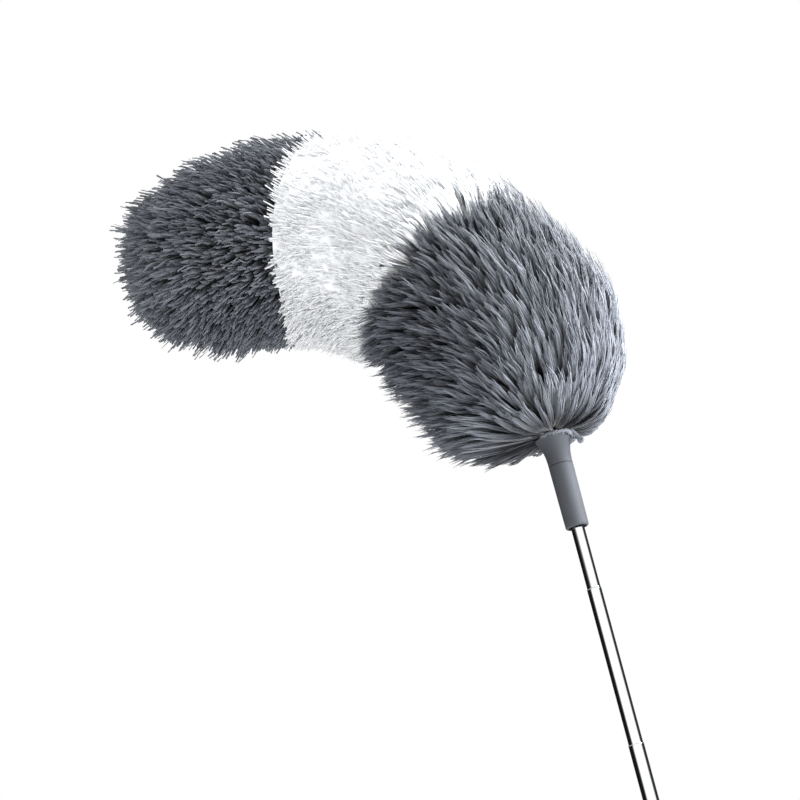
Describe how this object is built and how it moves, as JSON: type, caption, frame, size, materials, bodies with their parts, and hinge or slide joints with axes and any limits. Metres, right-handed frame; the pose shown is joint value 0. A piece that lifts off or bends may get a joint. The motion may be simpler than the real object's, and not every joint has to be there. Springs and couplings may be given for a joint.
{
  "type": "extendable duster",
  "caption": "Extendable duster: a telescopic chrome pole with a ribbed grip and hanging eye, and a screw-on, bendable head of grey and white microfibre pile.",
  "frame": {"origin": "middle of the hand grip, on the pole's axis", "axes": "+Z along the pole towards the head; the head leans over towards -X; Y is square to the plane that the head is bent in"},
  "size_m": [0.3706, 0.1781, 1.3834],
  "materials": {
    "polished_steel": "polished stainless steel tube",
    "grey_plastic": "moulded, fine satin grain",
    "soft_grip": "matt soft-touch rubber",
    "white_nylon": "turned nylon",
    "core_wire": "soft annealed wire",
    "core_vinyl": "black vinyl",
    "grey_pile": "microfibre tufts, grey",
    "white_pile": "microfibre tufts, white"
  },
  "bodies": {
    "handle": {"handle_core": "grey_plastic", "grip_sleeve": "soft_grip", "front_ring": "grey_plastic", "end_cap": "grey_plastic", "base_tube": "polished_steel"},
    "section_6": {"section_tube_6": "polished_steel", "slide_bush_6": "white_nylon"},
    "section_5": {"section_tube_5": "polished_steel", "slide_bush_5": "white_nylon"},
    "section_4": {"section_tube_4": "polished_steel", "slide_bush_4": "white_nylon"},
    "section_3": {"section_tube_3": "polished_steel", "slide_bush_3": "white_nylon"},
    "section_2": {"section_tube_2": "polished_steel", "slide_bush_2": "white_nylon"},
    "section_1": {"section_tube_1": "polished_steel", "slide_bush_1": "white_nylon", "pole_sleeve": "grey_plastic"},
    "head_1": {"head_ferrule": "grey_plastic", "binding_band": "white_nylon", "core_wire_1": "core_wire", "core_sleeve_1": "core_vinyl", "pile_1": "grey_pile"},
    "head_2": {"core_wire_2": "core_wire", "core_sleeve_2": "core_vinyl", "pile_2": "grey_pile"},
    "head_3": {"core_wire_3": "core_wire", "core_sleeve_3": "core_vinyl", "pile_3": "grey_pile"},
    "head_4": {"core_wire_4": "core_wire", "core_sleeve_4": "core_vinyl", "pile_4": "white_pile"},
    "head_5": {"core_wire_5": "core_wire", "core_sleeve_5": "core_vinyl", "pile_5": "white_pile"},
    "head_6": {"core_wire_6": "core_wire", "core_sleeve_6": "core_vinyl", "pile_6": "grey_pile", "tip_cap": "core_vinyl"}
  },
  "joints": [
    {"name": "slide_6", "type": "slide", "parent": "handle", "child": "section_6", "axis": [0, 0, 1], "range_m": [-0.113, 0.1864]},
    {"name": "slide_5", "type": "slide", "parent": "section_6", "child": "section_5", "axis": [0, 0, 1], "range_m": [-0.113, 0.1811]},
    {"name": "slide_4", "type": "slide", "parent": "section_5", "child": "section_4", "axis": [0, 0, 1], "range_m": [-0.113, 0.1758]},
    {"name": "slide_3", "type": "slide", "parent": "section_4", "child": "section_3", "axis": [0, 0, 1], "range_m": [-0.113, 0.1705]},
    {"name": "slide_2", "type": "slide", "parent": "section_3", "child": "section_2", "axis": [0, 0, 1], "range_m": [-0.113, 0.1652]},
    {"name": "slide_1", "type": "slide", "parent": "section_2", "child": "section_1", "axis": [0, 0, 1], "range_m": [-0.043, 0.2299]},
    {"name": "head_turn", "type": "hinge", "parent": "section_1", "child": "head_1", "pos_m": [0, 0, 0.976], "axis": [0, 0, 1], "continuous": true},
    {"name": "bend_2", "type": "hinge", "parent": "head_1", "child": "head_2", "pos_m": [-0.00391, 0, 1.04772], "axis": [0, -1, 0], "range_deg": [-36, 18], "deforming": ["core_sleeve_1", "pile_1", "core_sleeve_2", "pile_2"]},
    {"name": "bend_3", "type": "hinge", "parent": "head_2", "child": "head_3", "pos_m": [-0.02065, 0, 1.09469], "axis": [0, -1, 0], "range_deg": [-36, 18], "deforming": ["core_sleeve_3", "pile_3"]},
    {"name": "bend_4", "type": "hinge", "parent": "head_3", "child": "head_4", "pos_m": [-0.04862, 0, 1.13598], "axis": [0, -1, 0], "range_deg": [-36, 18], "deforming": ["core_sleeve_4", "pile_4"]},
    {"name": "bend_5", "type": "hinge", "parent": "head_4", "child": "head_5", "pos_m": [-0.08981, 0, 1.17218], "axis": [0, -1, 0], "range_deg": [-36, 18], "deforming": ["core_sleeve_5", "pile_5"]},
    {"name": "bend_6", "type": "hinge", "parent": "head_5", "child": "head_6", "pos_m": [-0.13902, 0, 1.19639], "axis": [0, -1, 0], "range_deg": [-36, 18], "deforming": ["core_sleeve_6", "pile_6"]}
  ]
}
